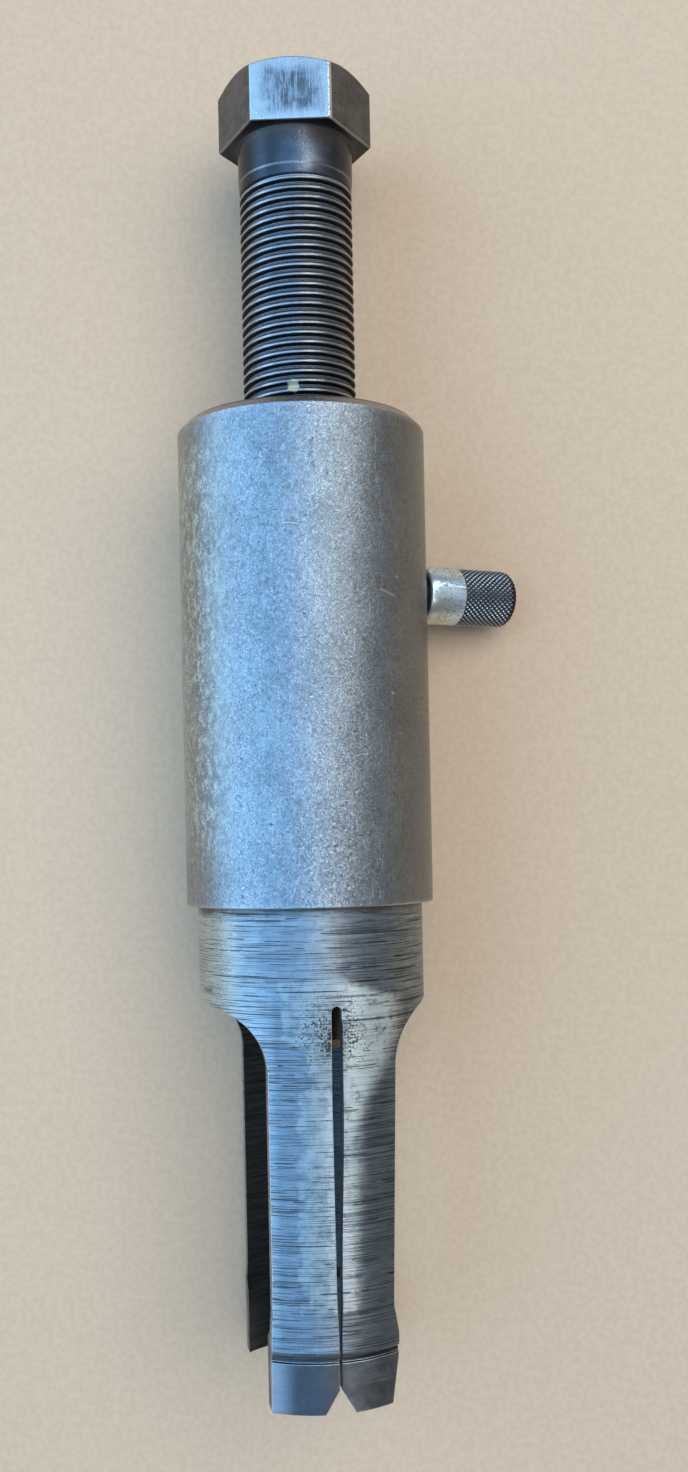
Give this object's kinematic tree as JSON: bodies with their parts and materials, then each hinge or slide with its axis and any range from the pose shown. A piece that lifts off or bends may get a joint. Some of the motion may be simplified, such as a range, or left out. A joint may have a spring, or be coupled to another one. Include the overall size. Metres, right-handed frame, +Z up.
{
  "type": "ball joint separator",
  "caption": "Hand tool with split gripping jaws, a sliding locking sleeve with a knurled spring plunger, and a hex-headed forcing screw with a swivelling pressure pad.",
  "frame": {"origin": "on the tool's axis, level with the finger tips", "axes": "+Y along the tool's axis towards the hex head; +Z up as the tool lies, +X towards the plunger's side"},
  "size_m": [0.0589, 0.2184, 0.0418],
  "materials": {
    "jaw_steel": "turned and milled steel, worn satin with dark lines",
    "sleeve_steel": "worn satin steel with fine pitting",
    "screw_steel": "dark oxide finish, bright where worn",
    "pad_steel": "dark greased steel",
    "ball_steel": "ground bright",
    "spring_steel": "drawn wire",
    "bushing_steel": "black oxide",
    "pin_steel": "ground",
    "knob_steel": "satin collar and diamond knurl, dark between the diamonds"
  },
  "bodies": {
    "jaw": {"jaw_body": "jaw_steel"},
    "pad": {"pressure_pad": "pad_steel", "thrust_ball": "ball_steel", "pad_retaining_ring": "spring_steel"},
    "screw": {"forcing_screw": "screw_steel"},
    "sleeve": {"locking_sleeve": "sleeve_steel", "plunger_bushing": "bushing_steel", "plunger_spring": "spring_steel"},
    "plunger": {"plunger_pin": "pin_steel", "plunger_knob": "knob_steel"}
  },
  "joints": [
    {"name": "screw_travel", "type": "slide", "parent": "jaw", "child": "pad", "axis": [0, -1, 0], "range_m": [-0.06, 0.04]},
    {"name": "screw_turn", "type": "hinge", "parent": "pad", "child": "screw", "pos_m": [0, 0.065, 0], "axis": [0, -1, 0], "range_deg": [-13608, 9073]},
    {"name": "sleeve_slide", "type": "slide", "parent": "jaw", "child": "sleeve", "axis": [0, -1, 0], "range_m": [0, 0.06]},
    {"name": "plunger_pull", "type": "slide", "parent": "sleeve", "child": "plunger", "axis": [0.91, 0, -0.4147], "range_m": [0, 0.004], "stiffness_N_per_m": 1500, "springref_m": -0.004, "deforming": ["plunger_spring"]}
  ],
  "couplings": [
    {"joint": "screw_turn", "follows": "screw_travel", "rad_per_m": 3957.9}
  ]
}
